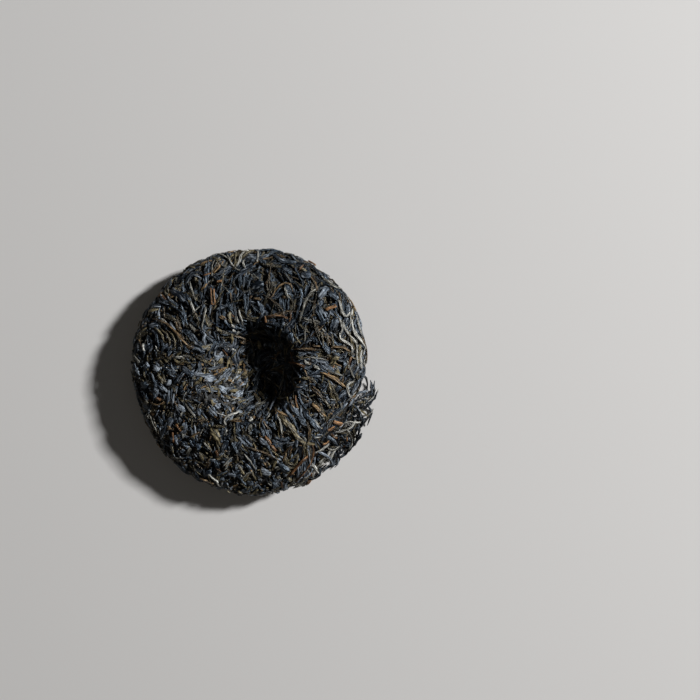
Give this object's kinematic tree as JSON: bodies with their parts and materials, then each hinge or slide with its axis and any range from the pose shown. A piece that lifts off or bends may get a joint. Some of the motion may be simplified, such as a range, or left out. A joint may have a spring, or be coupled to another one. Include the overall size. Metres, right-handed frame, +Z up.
{
  "type": "pu erh tea cake",
  "caption": "Round cake of compressed dark tea leaves, 30 mm thick, with a deep hollow in the middle of its top, rolled leaves in relief and a crumbled bite out of its rim.",
  "frame": {"origin": "middle of the small flat spot on which the cake rests, under the middle of the hollow", "axes": "+Z up through the hollow, the cake's thickness; +Y along the cake's longer width; the bite is between +X and -Y"},
  "size_m": [0.2002, 0.2011, 0.0316],
  "materials": {
    "dried_leaf": "satin, rolled dark dried leaves"
  },
  "bodies": {
    "root": {"tea_cake": "dried_leaf"}
  },
  "joints": []
}
